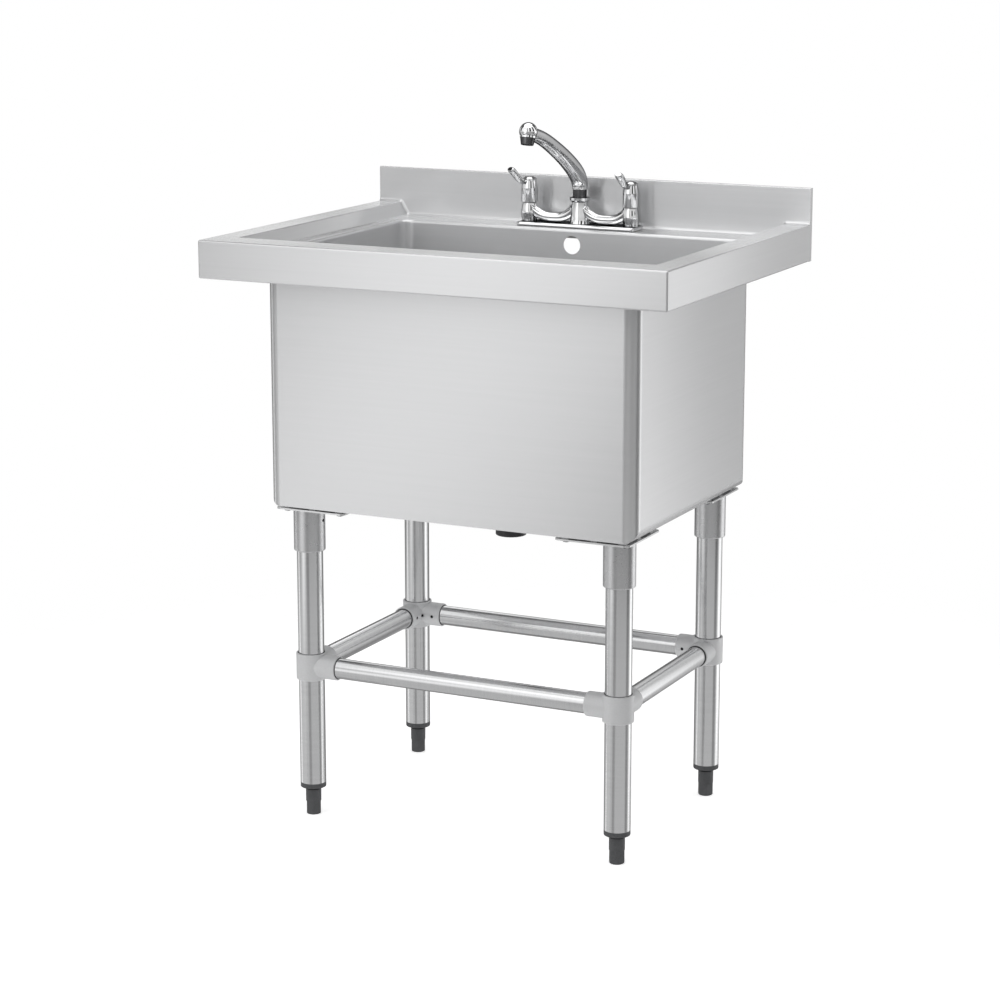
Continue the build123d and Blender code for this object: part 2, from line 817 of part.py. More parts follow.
def mixer_body():
    outline = RectangleRounded(tap_plate_length, tap_plate_width, tap_plate_corner)
    plate = Pos(0, 0, plate_low) * extrude(outline, tap_plate_height)
    plate = fillet(plate.edges().group_by(Axis.Z)[-1], tap_plate_edge)
    flare_z = tap_plate_top + pillar_flare_height
    foot_z = tap_plate_top - tap_plate_edge
    pillar = flared(
        pillar_foot_radius, foot_z, pillar_flare_radius, flare_z, pillar_top_radius, pillar_top
    )
    rim_low = boss_top - boss_rim_height
    neck_z = rim_low - boss_rim_slope
    flare_z = tap_plate_top + boss_flare_height
    boss = flared(boss_foot_radius, foot_z, boss_radius + boss_flare, flare_z, boss_radius, neck_z)
    boss = boss + turned(
        [
            (0, neck_z),
            (boss_radius, neck_z),
            (boss_rim_radius, rim_low),
            (boss_rim_radius, boss_top),
            (0, boss_top),
        ]
    )
    body = plate + boss
    for side in (-1, 1):
        place = Pos(side * tap_centres / 2, 0, 0)
        body = body + place * pillar + tap_arm(side)
    for side in (-1, 1):
        place = Pos(side * tap_centres / 2, 0, 0)
        body = body - place * rod(valve_radius + thread_gap, pillar_top - valve_depth, pillar_top + 1)
        spigot = rod(tap_tail_spigot_radius + thread_gap, plate_low - 1, plate_low + tap_tail_spigot)
        body = body - place * spigot
    spigot_low = nut_low - nut_spigot_height
    body = body - rod(nut_spigot_radius + thread_gap, spigot_low, nut_low + 1)
    plug_low = tail_plug_top - tail_plug_height - 1
    body = body - rod(tail_plug_radius + running_gap, plug_low, spigot_low + 1)
    return Pos(0, tap_y, 0) * body


def tap_tail(side):
    low = plate_low - tap_tail_length
    shank_low = deck_z - sheet - washer_height - backnut_height
    body = ring(tap_tail_radius, tap_tail_bore, low, shank_low)
    end = body.edges().filter_by(GeomType.CIRCLE).group_by(Axis.Z)[0].sort_by(SortBy.LENGTH)[-1:]
    body = chamfer(end, tap_tail_chamfer)
    body = body + ring(tap_shank_radius, tap_tail_bore, shank_low, plate_low)
    spigot_top = plate_low + tap_tail_spigot - spigot_end_gap
    body = body + ring(tap_tail_spigot_radius, tap_tail_bore, plate_low, spigot_top)
    return Pos(side * tap_centres / 2, tap_y, 0) * body


def tail_washers():
    top = deck_z - sheet
    washer = ring(washer_radius, tap_shank_radius + deck_hole_gap, top - washer_height, top)
    return [Pos(side * tap_centres / 2, tap_y, 0) * washer for side in (-1, 1)]


def tail_backnuts():
    top = deck_z - sheet - washer_height
    outline = RegularPolygon(backnut_width / 2, 6, major_radius=False)
    outline = outline - Circle(tap_shank_radius + thread_gap)
    nut = Pos(0, 0, top - backnut_height) * extrude(outline, backnut_height)
    return [Pos(side * tap_centres / 2, tap_y, 0) * nut for side in (-1, 1)]


def valve_body(side):
    flange_top = pillar_top + valve_flange
    hexagon_top = flange_top + valve_hexagon_height
    top = pillar_top + valve_height
    hexagon = RegularPolygon(valve_radius, 6, major_radius=False)
    body = rod(valve_radius, valve_low, pillar_top)
    body = body + rod(skirt_radius - skirt_wall - valve_flange_gap, pillar_top, flange_top)
    body = body + Pos(0, 0, flange_top) * extrude(hexagon, valve_hexagon_height)
    body = body + rod(valve_neck_radius, hexagon_top, top)
    bore = rod(spindle_radius + running_gap, valve_low + valve_floor, top + 1)
    return Pos(side * tap_centres / 2, tap_y, 0) * (body - bore)


def spindle(side, turn):
    body = rod(spindle_radius, valve_low + valve_floor + spindle_end_gap, grip_low)
    square = Pos(0, 0, grip_low) * extrude(Rectangle(spindle_square, spindle_square), spindle_grip)
    thread_low = grip_top - lever_screw_length - tapping_depth
    body = body + square - rod(lever_screw_radius + thread_gap, thread_low, grip_top + 1)
    return Pos(side * tap_centres / 2, tap_y, 0) * Rot(0, 0, turn) * body


def lever(side, turn):
    shell = turned(
        [
            (0, lever_low),
            (skirt_radius, lever_low),
            (skirt_radius, cone_low),
            (crown_radius, cone_top),
            (crown_radius, cone_top + crown_band),
            (crown_radius - crown_edge, crown_top),
            (0, crown_top),
        ]
    )
    arm_z = cone_top - lever_drop
    # share of the length, share of the rise, size from neck (0) to tip (1), rounding
    stations = [
        (0.00, 0.00, 0.0, 1.0),
        (0.20, 0.00, 0.0, 1.0),
        (0.42, 0.06, -0.15, 1.0),
        (0.66, 0.40, 0.5, 1.0),
        (0.84, 0.76, 1.0, 1.0),
        (0.95, 0.93, 1.0, 0.96),
        (1.00, 1.00, 1.0, 0.66),
    ]
    sections = []
    for i, (out, up, blend, rounding) in enumerate(stations):
        before = stations[max(i - 1, 0)]
        after = stations[min(i + 1, len(stations) - 1)]
        along = Vector(0, -(after[0] - before[0]) * lever_length, (after[1] - before[1]) * lever_rise)
        origin = (0, -out * lever_length, arm_z + up * lever_rise)
        frame = Plane(origin=origin, x_dir=(1, 0, 0), z_dir=along)
        wide = lever_neck + (lever_tip_width - lever_neck) * blend
        tall = lever_neck + (lever_tip_height - lever_neck) * blend
        sections.append(frame * Ellipse(wide * rounding, tall * rounding))
    body = shell + loft(sections)
    cavity = rod(skirt_radius - skirt_wall, lever_low - 1, grip_low + lever_roof_gap)
    square = spindle_square + 2 * running_gap
    socket = Pos(0, 0, lever_low) * extrude(Rectangle(square, square), grip_top - lever_low)
    drill = rod(lever_screw_radius + lever_screw_gap, grip_top - 1, crown_top + 1)
    counterbore = rod(cap_radius + running_gap, screw_seat, crown_top + 1)
    body = body - cavity - socket - drill - counterbore
    return Pos(side * tap_centres / 2, tap_y, 0) * Rot(0, 0, turn) * body


def lever_screw(side):
    head_top = screw_seat + lever_screw_head_height
    shank = rod(lever_screw_radius, grip_top - lever_screw_length, screw_seat)
    head = rod(lever_screw_head_radius, screw_seat, head_top)
    key = RegularPolygon(lever_screw_key / 2, 6, major_radius=False)
    key = Pos(0, 0, head_top - lever_screw_key_depth) * extrude(key, lever_screw_key_depth + 1)
    return Pos(side * tap_centres / 2, tap_y, 0) * (shank + head - key)


def index_cap(side):
    cap = rod(cap_radius, crown_top - cap_height, crown_top + cap_stand)
    cap = fillet(cap.edges().filter_by(GeomType.CIRCLE).group_by(Axis.Z)[-1], cap_edge)
    return Pos(side * tap_centres / 2, tap_y, 0) * cap


def spout_nut():
    body = ring(nut_radius, journal_radius + running_gap, nut_low, nut_top)
    groove = Box(2 * nut_rib_depth, nut_rib_width, nut_ring_height - 2 * nut_rib_margin)
    groove = Pos(nut_radius, 0, (nut_low + nut_top) / 2) * groove
    for i in range(nut_ribs):
        body = body - Rot(0, 0, 360 / nut_ribs * i) * groove
    spigot_low = nut_low - nut_spigot_height
    body = body + ring(nut_spigot_radius, journal_radius + running_gap, spigot_low, nut_low)
    return Pos(0, tap_y, 0) * body


def spout_ring():
    outer = tail_plug_radius + running_gap / 2
    half = ring_section / 2
    return Pos(0, tap_y, 0) * ring(outer, outer - ring_section, ring_middle - half, ring_middle + half)


def spout_line():
    """Centre line of the cast arm from the swivel to the ball at its end."""
    start = spout_low + spout_base_height
    return Spline(
        (0, tap_y, start),
        (0, tap_y - 0.10 * spout_reach, start + 0.27 * (spout_rise - spout_base_height)),
        (0, tap_y - 0.38 * spout_reach, start + 0.57 * (spout_rise - spout_base_height)),
        (0, tap_y - 0.80 * spout_reach, start + 0.89 * (spout_rise - spout_base_height)),
        (0, tap_y - spout_reach, start + spout_rise - spout_base_height),
        tangents=((0, -0.1, 1), (0, -1, 0.36)),
    )


def spout_end():
    """Place of the ball at the spout's end, whose outlet leans forward."""
    return Pos(0, tap_y - spout_reach, spout_low + spout_rise) * Rot(-nozzle_lean, 0, 0)


def spout():
    plug_low = tail_plug_top - tail_plug_height
    body = rod(tail_plug_radius, plug_low, tail_plug_top)
    half = ring_section / 2 + ring_side_gap
    root = tail_plug_radius - ring_section
    body = body - ring(tail_plug_radius + 1, root, ring_middle - half, ring_middle + half)
    body = body + rod(journal_radius, tail_plug_top, spout_low)
    body = body + rod(spout_base_radius, spout_low, spout_low + spout_base_height)
    body = Pos(0, tap_y, 0) * body
    line = spout_line()
    sections = []
    for i in range(spout_stations):
        share = i / (spout_stations - 1)
        radius = spout_swell_radius + (spout_tip_radius - spout_swell_radius) * share
        narrowing = max(0, 1 - share / spout_swell_share)
        radius = radius - (spout_swell_radius - spout_base_radius) * narrowing**2
        frame = Plane(origin=line @ share, x_dir=(1, 0, 0), z_dir=line % share)
        sections.append(frame * Circle(radius))
    sections[0] = Pos(0, tap_y, spout_low + spout_base_height) * Circle(spout_base_radius)
    body = body + loft(sections)
    ball = spout_end()
    nozzle = rod(nozzle_radius, -nozzle_drop, 0)
    body = body + ball * Sphere(ball_radius) + ball * nozzle
    relief = rod(aerator_radius + spout_gap, -nozzle_drop - aerator_height, -nozzle_drop)
    thread_radius = aerator_bore + aerator_thread_wall
    thread = rod(thread_radius, -nozzle_drop - 1, -nozzle_drop + aerator_thread)
    return body - ball * relief - ball * thread


def aerator():
    face = -nozzle_drop
    body = Pos(0, 0, face - aerator_height) * Cone(
        aerator_radius - aerator_taper, aerator_radius, aerator_height, align=seated
    )
    body = body - rod(aerator_bore, face - aerator_height - 1, face + 1)
    outer = body.edges().filter_by(GeomType.CIRCLE).group_by(Axis.Z)[0].sort_by(SortBy.LENGTH)[-1:]
    body = fillet(outer, aerator_edge)
    thread_radius = aerator_bore + aerator_thread_wall - thread_gap
    body = body + ring(thread_radius, aerator_bore, face, face + aerator_thread - spigot_end_gap)
    screen_top = face - aerator_screen_sink
    body = body + rod(aerator_bore, screen_top - aerator_screen, screen_top)
    steps = (-aerator_pitch, 0, aerator_pitch)
    holes = [(x, y) for x in steps for y in steps if abs(x) + abs(y) < 2 * aerator_pitch]
    for x, y in holes:
        body = body - Pos(x, y, 0) * rod(aerator_hole_radius, face - aerator_height, face)
    return spout_end() * body


# Writing the pieces


os.makedirs("parts", exist_ok=True)


def write(name, shape):
    solids = list(shape) if isinstance(shape, list) else [shape]
    bodies = [s for item in solids for s in item.solids()]
    model = bodies[0] if len(bodies) == 1 else Compound(children=bodies)
    export_step(model, f"parts/{name}.step")


write("worktop", worktop())
write("bowl_wrapper", bowl_wrapper())
write("bowl_front_panel", bowl_front_panel())
write("bowl_rear_panel", bowl_rear_panel())
for name, (side, end) in corners.items():
    write(f"leg_plate_{name}", leg_plate(side, end))
    write(f"leg_socket_{name}", leg_socket(side, end))
    write(f"leg_tube_{name}", leg_tube(side, end))
    write(f"corner_fitting_{name}", corner_fitting(side, end))
    write(f"tube_insert_{name}", tube_insert(side, end))
    write(f"foot_{name}", foot(side, end))
for name in ("front", "rear", "left", "right"):
    write(f"rail_{name}", rail(name))
write("weld_studs", weld_studs())
write("stud_nuts", stud_nuts())
write("grub_screws", grub_screws())

write("waste_strainer", waste_strainer())
write("waste_top_gasket", waste_top_gasket())
write("waste_lower_gasket", waste_lower_gasket())
write("waste_body", waste_body())
write("waste_centre_screw", waste_centre_screw())

write("tap_gasket", tap_gasket_sheet())
write("mixer_body", mixer_body())
write("tail_washers", tail_washers())
write("tail_backnuts", tail_backnuts())
for name, side, turn in (("left", -1, left_turn), ("right", 1, right_turn)):
    write(f"tap_tail_{name}", tap_tail(side))
    write(f"valve_body_{name}", valve_body(side))
    write(f"spindle_{name}", spindle(side, turn))
    write(f"lever_{name}", lever(side, turn))
    write(f"lever_screw_{name}", lever_screw(side))
    write(f"index_cap_{name}", index_cap(side))
write("spout", spout())
write("spout_nut", spout_nut())
write("spout_ring", spout_ring())
write("aerator", aerator())
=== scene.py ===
import bpy
import math
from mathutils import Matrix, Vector


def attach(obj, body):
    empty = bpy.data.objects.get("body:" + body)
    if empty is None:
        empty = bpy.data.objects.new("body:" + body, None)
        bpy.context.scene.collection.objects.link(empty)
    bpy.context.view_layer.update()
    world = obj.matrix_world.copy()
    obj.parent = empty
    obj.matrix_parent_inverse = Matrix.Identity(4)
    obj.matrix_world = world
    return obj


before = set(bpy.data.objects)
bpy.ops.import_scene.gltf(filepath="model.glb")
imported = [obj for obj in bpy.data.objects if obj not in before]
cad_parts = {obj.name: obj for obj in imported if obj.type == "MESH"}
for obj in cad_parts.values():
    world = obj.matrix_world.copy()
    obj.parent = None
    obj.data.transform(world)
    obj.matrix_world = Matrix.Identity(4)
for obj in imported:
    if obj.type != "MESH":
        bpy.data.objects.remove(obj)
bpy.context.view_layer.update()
print("frame loaded with", len(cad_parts), "nodes")


# Shader maths written as plain Python

class Wire:
    def __init__(self, paint, socket):
        self.paint = paint
        self.socket = socket

    def pick(self, output):  # another output of the same node
        return Wire(self.paint, self.socket.node.outputs[output])

    def __add__(self, other):
        return self.paint.maths("ADD", self, other)

    def __radd__(self, other):
        return self.paint.maths("ADD", other, self)

    def __sub__(self, other):
        return self.paint.maths("SUBTRACT", self, other)

    def __rsub__(self, other):
        return self.paint.maths("SUBTRACT", other, self)

    def __mul__(self, other):
        return self.paint.maths("MULTIPLY", self, other)

    def __rmul__(self, other):
        return self.paint.maths("MULTIPLY", other, self)

    def __gt__(self, other):
        return self.paint.maths("GREATER_THAN", self, other)

    def __abs__(self):
        return self.paint.maths("ABSOLUTE", self)


class Paint:
    def __init__(self, tree):
        self.tree = tree
        tree.nodes.clear()

    def node(self, kind, settings=None, inputs=None, output=0):
        made = self.tree.nodes.new(kind)
        for key, value in (settings or {}).items():
            setattr(made, key, value)
        for key, value in (inputs or {}).items():
            if isinstance(value, Wire):
                self.tree.links.new(value.socket, made.inputs[key])
            else:
                made.inputs[key].default_value = value
        return Wire(self, made.outputs[output]) if made.outputs else made

    def maths(self, operation, *values):
        return self.node("ShaderNodeMath", {"operation": operation}, dict(enumerate(values)))

    def vectorMaths(self, operation, *values, output=0):
        return self.node("ShaderNodeVectorMath", {"operation": operation}, dict(enumerate(values)), output)

    def place(self):  # metres in the frame, the same at every pose
        return self.node("ShaderNodeTexCoord", output="Object")

    def facing(self):
        return self.node("ShaderNodeTexCoord", output="Normal")

    def parts(self, vector):
        split = self.node("ShaderNodeSeparateXYZ", None, {0: vector})
        return [split.pick(axis) for axis in "XYZ"]

    def noise(self, vector, scale=1.0, detail=2.0, rough=0.5):
        return self.node("ShaderNodeTexNoise", None,
                         {"Vector": vector, "Scale": scale, "Detail": detail, "Roughness": rough})

    def spread(self, value, low, high, newLow, newHigh):  # a smooth step between two levels
        return self.node("ShaderNodeMapRange", {"interpolation_type": "SMOOTHSTEP"},
                         {0: value, 1: low, 2: high, 3: newLow, 4: newHigh})

    def contrast(self, noise):  # noise keeps near its middle, this takes it out to 0 and 1
        return self.spread(noise, 0.35, 0.65, 0.0, 1.0)

    def mixVector(self, share, first, second):
        return self.node("ShaderNodeMix", {"data_type": "VECTOR"}, {0: share, 4: first, 5: second}, 1)

    def mixColour(self, share, first, second):
        return self.node("ShaderNodeMix", {"data_type": "RGBA"},
                         {0: share, 6: solid(first), 7: solid(second)}, 2)

    def bump(self, height, look):
        return self.node("ShaderNodeBump", None,
                         {"Strength": look["bumpStrength"], "Distance": look["bumpDepth"], "Height": height})

    def surface(self, kind, sockets):
        shader = self.node(kind, None, sockets)
        self.node("ShaderNodeOutputMaterial", None, {"Surface": shader})


def solid(colour):
    return (*colour, 1)


def material(name, build, look, kind="ShaderNodeBsdfPrincipled"):
    made = bpy.data.materials.new(name)
    made.use_nodes = True
    paint = Paint(made.node_tree)
    paint.surface(kind, build(paint, look))
    if "colour" in look:
        made.diffuse_color = solid(look["colour"])
    return made


# Sheet steel, brushed along its length

sheetLook = {
    "colour": (0.738, 0.741, 0.748),
    "streak": (0.754, 0.757, 0.763),
    "metallic": 0.68,
    "roughness": 0.25,
    "roughSpread": 0.02,
    "longGrain": 6.0,  # how often the grain changes along a stroke, per metre
    "fineGrain": 620.0,  # and across it
    "bandGrain": 160.0,  # the same for the wider bands
    "handling": 5.0,
    "sideways": 0.7,  # a sheet that faces left or right more than this is brushed from front to back
    "fineShare": 0.5,
    "fineBump": 0.6,
    "bumpStrength": 0.01,
    "bumpDepth": 0.00003,
    "anisotropy": 0.95,
    "grainTurn": 0.25,
}


def brushedSheet(paint, look):
    place = paint.place()
    long, fine = look["longGrain"], look["fineGrain"]
    across = paint.mixVector(
        abs(paint.parts(paint.facing())[0]) > look["sideways"],
        paint.vectorMaths("MULTIPLY", place, (long, fine, fine)),
        paint.vectorMaths("MULTIPLY", place, (fine, long, fine)))
    grain = paint.noise(across)
    band = paint.noise(across, look["bandGrain"] / fine, detail=3.0, rough=0.6)
    handling = paint.noise(place, look["handling"], detail=3.0)
    streak = paint.contrast(grain * look["fineShare"] + band * (1 - look["fineShare"]))
    return {
        "Base Color": paint.mixColour(streak, look["colour"], look["streak"]),
        "Metallic": look["metallic"],
        "Roughness": look["roughness"] + look["roughSpread"] * (streak + handling - 1.0),
        "Anisotropic": look["anisotropy"],
        "Anisotropic Rotation": look["grainTurn"],
        "Normal": paint.bump(grain * look["fineBump"] + band * (1 - look["fineBump"]), look),
    }


# Round tube, polished round and round

tubeLook = {
    "colour": (0.715, 0.718, 0.725),
    "streak": (0.745, 0.748, 0.754),
    "roughness": 0.19,
    "roughSpread": 0.03,
    "roundGrain": 22.0,
    "fineGrain": 600.0,
    "bandGrain": 110.0,
    "fineShare": 0.6,
    "bumpStrength": 0.03,
    "bumpDepth": 0.00005,
    "anisotropy": 0.5,
    "grainTurn": 0.25,
}

railLook = dict(tubeLook, anisotropy=0.0)


def polishedTube(axis):
    def build(paint, look):
        factors = [look["fineGrain"] if name == axis else look["roundGrain"] for name in "XYZ"]
        across = paint.vectorMaths("MULTIPLY", paint.place(), factors)
        grain = paint.noise(across)
        band = paint.noise(across, look["bandGrain"] / look["fineGrain"])
        streak = paint.contrast(grain * look["fineShare"] + band * (1 - look["fineShare"]))
        return {
            "Base Color": paint.mixColour(streak, look["colour"], look["streak"]),
            "Metallic": 1.0,
            "Roughness": look["roughness"] + look["roughSpread"] * (streak - 0.5),
            "Anisotropic": look["anisotropy"],
            "Anisotropic Rotation": look["grainTurn"],
            "Normal": paint.bump(grain, look),
        }
    return build


# Cast fittings, blasted matt

castLook = {
    "colour": (0.60, 0.603, 0.61),
    "light": (0.70, 0.703, 0.71),
    "metallic": 0.35,
    "roughness": 0.5,
    "roughSpread": 0.12,
    "blast": 1400.0,
    "mottle": 90.0,
    "blastBump": 0.8,
    "bumpStrength": 0.35,
    "bumpDepth": 0.0002,
}

socketLook = dict(castLook, metallic=0.9, roughness=0.30, roughSpread=0.16, mottle=150.0)


def blastedCasting(paint, look):
    place = paint.place()
    grit = paint.noise(place, look["blast"], detail=3.0, rough=0.6)
    mottle = paint.noise(place, look["mottle"], detail=3.0)
    return {
        "Base Color": paint.mixColour(paint.contrast(grit), look["colour"], look["light"]),
        "Metallic": look["metallic"],
        "Roughness": look["roughness"] + look["roughSpread"] * (mottle - 0.5),
        "Normal": paint.bump(grit * look["blastBump"] + mottle * (1 - look["blastBump"]), look),
    }


# Chrome on the tap

chromeLook = {
    "colour": (0.88, 0.883, 0.89),
    "clean": (0.93, 0.933, 0.937),
    "edge": (0.04, 0.04, 0.045),  # painted dark reflection: near black where the plating is seen almost edge on, which outlines the chrome
    "roughness": 0.03,
    "roughSpread": 0.03,
    "wipe": 35.0,
    "smear": (0.5, 0.75),  # from here to here a wiped patch turns dull
    "waviness": 60.0,
    "bumpStrength": 0.01,
    "bumpDepth": 0.0002,
}

darkChromeLook = dict(chromeLook, colour=(0.13, 0.13, 0.135), clean=(0.17, 0.17, 0.175), roughness=0.22)
# Black for the grub screws, and also painted shade on the valve bodies, seen in the gap under each lever
# skirt
blackScrewAndGapShadeLook = dict(chromeLook, colour=(0.03, 0.03, 0.032), clean=(0.05, 0.05, 0.052), roughness=0.35)


def polishedChrome(paint, look):
    place = paint.place()
    wipe = paint.noise(place, look["wipe"], detail=4.0, rough=0.6)
    wave = paint.noise(place, look["waviness"], detail=1.0)
    return {
        "Base Color": paint.mixColour(paint.contrast(wipe), look["colour"], look["clean"]),
        "Metallic": 1.0,
        # the edge tint paints a dark reflection round the outline of every chrome piece
        "Specular Tint": solid(look["edge"]),
        "Roughness": look["roughness"] + look["roughSpread"] * paint.spread(wipe, *look["smear"], 0.0, 1.0),
        "Normal": paint.bump(wave, look),
    }


# Plastics and rubber

footLook = {
    "colour": (0.052, 0.053, 0.056),
    "light": (0.082, 0.084, 0.088),
    "roughness": 0.55,
    "roughSpread": 0.2,
    "grain": 1300.0,
    "mottle": 60.0,
    "grainShare": 0.7,
    "bumpStrength": 0.4,
    "bumpDepth": 0.0003,
}

wasteLook = dict(footLook, colour=(0.018, 0.018, 0.02), light=(0.030, 0.030, 0.033),
                 roughness=0.4, grain=900.0)
rubberLook = dict(footLook, colour=(0.022, 0.022, 0.024), light=(0.035, 0.035, 0.037),
                  roughness=0.7, grain=700.0)


def grainedPlastic(paint, look):
    place = paint.place()
    grain = paint.noise(place, look["grain"], detail=3.0, rough=0.6)
    mottle = paint.noise(place, look["mottle"], detail=3.0)
    shade = paint.contrast(grain * look["grainShare"] + mottle * (1 - look["grainShare"]))
    return {
        "Base Color": paint.mixColour(shade, look["colour"], look["light"]),
        "Roughness": look["roughness"] + look["roughSpread"] * (mottle - 0.5),
        "Normal": paint.bump(grain, look),
    }


# Turned brass and plated steel, with lathe marks round the upright axis

brassLook = {
    "colour": (0.62, 0.43, 0.18),
    "light": (0.76, 0.56, 0.26),
    "roughness": 0.28,
    "roughSpread": 0.15,
    "turning": 900.0,  # lathe marks per metre of height
    "runOut": 40.0,  # how often a mark changes on its way round
    "tarnish": 70.0,
    "markShare": 0.4,
    "bumpStrength": 0.1,
    "bumpDepth": 0.0001,
}

platedLook = dict(brassLook, colour=(0.42, 0.425, 0.435), light=(0.58, 0.585, 0.59), roughness=0.25)


def turnedMetal(paint, look):
    place = paint.place()
    marks = (look["runOut"], look["runOut"], look["turning"])
    lathe = paint.noise(paint.vectorMaths("MULTIPLY", place, marks))
    tarnish = paint.noise(place, look["tarnish"], detail=4.0, rough=0.6)
    shade = paint.contrast(lathe * look["markShare"] + tarnish * (1 - look["markShare"]))
    return {
        "Base Color": paint.mixColour(shade, look["colour"], look["light"]),
        "Metallic": 1.0,
        "Roughness": look["roughness"] + look["roughSpread"] * (tarnish - 0.5),
        "Normal": paint.bump(lathe, look),
    }


# Which finish goes where: by slot, and a few pieces by name

finishes = {
    "sheet_steel": material("brushed_sheet_steel", brushedSheet, sheetLook),
    "tube_steel": material("polished_upright_tube", polishedTube("Z"), tubeLook),
    "cast_fitting": material("blasted_casting", blastedCasting, castLook),
    "bright_chrome": material("polished_chrome", polishedChrome, chromeLook),
    "dark_chrome": material("dark_chrome", polishedChrome, darkChromeLook),
    "foot_plastic": material("grained_foot_plastic", grainedPlastic, footLook),
    "waste_plastic": material("black_waste_plastic", grainedPlastic, wasteLook),
    "seal_rubber": material("seal_rubber", grainedPlastic, rubberLook),
    "bare_brass": material("turned_brass", turnedMetal, brassLook),
    "plated_steel": material("plated_steel", turnedMetal, platedLook),
}
longRail = material("polished_long_rail", polishedTube("X"), railLook)
shortRail = material("polished_short_rail", polishedTube("Y"), railLook)
socketSteel = material("satin_socket", blastedCasting, socketLook)
screwBlackAndGapShade = material("black_screw_and_gap_shade", polishedChrome, blackScrewAndGapShadeLook)

corners = [(front, side) for front in ("front", "rear") for side in ("left", "right")]
ownFinish = {
    "rail_front": longRail,
    "rail_rear": longRail,
    "rail_left": shortRail,
    "rail_right": shortRail,
    "grub_screws": screwBlackAndGapShade,
    # The valve bodies take the black screw finish as painted shade: it darkens the gap under each lever skirt
    "valve_body_left": screwBlackAndGapShade,
    "valve_body_right": screwBlackAndGapShade,
}
for front, side in corners:
    ownFinish[f"leg_socket_{front}_{side}"] = socketSteel

for name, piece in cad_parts.items():
    for slot in piece.material_slots:
        slot.material = ownFinish.get(name) or finishes[slot.material.name]
print("finishes on", len(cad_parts), "pieces")


# Dark gap where each tube enters its fitting

gapLook = {
    "rise": 0.0206,  # rail axis up to the leg's mouth
    "reach": 0.0482,  # leg axis to a rail's mouth
    "legRadius": 0.0204,
    "railRadius": 0.0162,
    "thick": 0.0008,
    "around": 48,
    "section": 8,
}


def centreOf(name):
    box = [Vector(corner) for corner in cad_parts[name].bound_box]
    return sum(box, Vector()) / len(box)


def mouths(look):  # centre, direction and radius of every mouth that a tube goes into
    for front, side in corners:
        hub = centreOf(f"leg_tube_{front}_{side}")
        hub.z = centreOf("rail_" + front).z
        up = Vector((0, 0, 1))
        alongX = Vector((-math.copysign(1, hub.x), 0, 0))
        alongY = Vector((0, -math.copysign(1, hub.y), 0))
        yield hub + up * look["rise"], up, look["legRadius"]
        yield hub + alongX * look["reach"], alongX, look["railRadius"]
        yield hub + alongY * look["reach"], alongY, look["railRadius"]


def ringPoints(centre, axis, radius, look):
    side = axis.orthogonal().normalized()
    other = axis.cross(side)
    for step in range(look["around"]):
        turn = math.tau * step / look["around"]
        outward = side * math.cos(turn) + other * math.sin(turn)
        for part in range(look["section"]):
            roll = math.tau * part / look["section"]
            out, along = look["thick"] * math.cos(roll), look["thick"] * math.sin(roll)
            yield centre + outward * (radius + out) + axis * along


def ringFaces(start, look):
    around, section = look["around"], look["section"]
    for step in range(around):
        here = start + step * section
        after = start + (step + 1) % around * section
        for part in range(section):
            turn = (part + 1) % section
            yield here + part, after + part, after + turn, here + turn


def newObject(name, points, faces, finish):
    mesh = bpy.data.meshes.new(name)
    mesh.from_pydata([tuple(point) for point in points], [], faces)
    mesh.materials.append(finish)
    made = bpy.data.objects.new(name, mesh)
    bpy.context.scene.collection.objects.link(made)
    return made


def tubeGaps(look):
    points, faces = [], []
    for centre, axis, radius in mouths(look):
        faces += ringFaces(len(points), look)
        points += ringPoints(centre, axis, radius, look)
    gaps = newObject("tube_gaps", points, faces, finishes["seal_rubber"])
    gaps.data.shade_smooth()
    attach(gaps, "stand")


tubeGaps(gapLook)
print("gaps drawn")


# Floor

floorLook = {
    "radius": 1.5,
    "around": 96,
    "fadeFrom": 0.75,  # the paper thins out to nothing between these two radii
    "fadeTo": 1.45,
    "colour": (0.86, 0.86, 0.86),
    "speckle": (0.9, 0.9, 0.9),
    "speckleSize": 220.0,
    "roughness": 0.9,
    "shine": 0.1,
    "glow": 0.64,
}


def floorPaper(paint, look):
    place = paint.place()
    away = paint.vectorMaths("LENGTH", place, output="Value")
    return {
        "Base Color": paint.mixColour(paint.noise(place, look["speckleSize"], detail=3.0),
                                      look["colour"], look["speckle"]),
        "Roughness": look["roughness"],
        "Specular IOR Level": look["shine"],
        "Emission Color": (1, 1, 1, 1),
        "Emission Strength": look["glow"],
        "Alpha": paint.spread(away, look["fadeFrom"], look["fadeTo"], 1.0, 0.0),
    }


def floorDisc(look):
    turns = [math.tau * step / look["around"] for step in range(look["around"])]
    rim = [(look["radius"] * math.cos(turn), look["radius"] * math.sin(turn), 0) for turn in turns]
    disc = newObject("floor", rim, [range(len(rim))], material("floor_paper", floorPaper, look))
    disc.visible_glossy = False


floorDisc(floorLook)
print("floor laid")


# Studio: a painted light tent that only the reflections see

cameraAzimuth = 26.0  # degrees from straight in front, towards the right

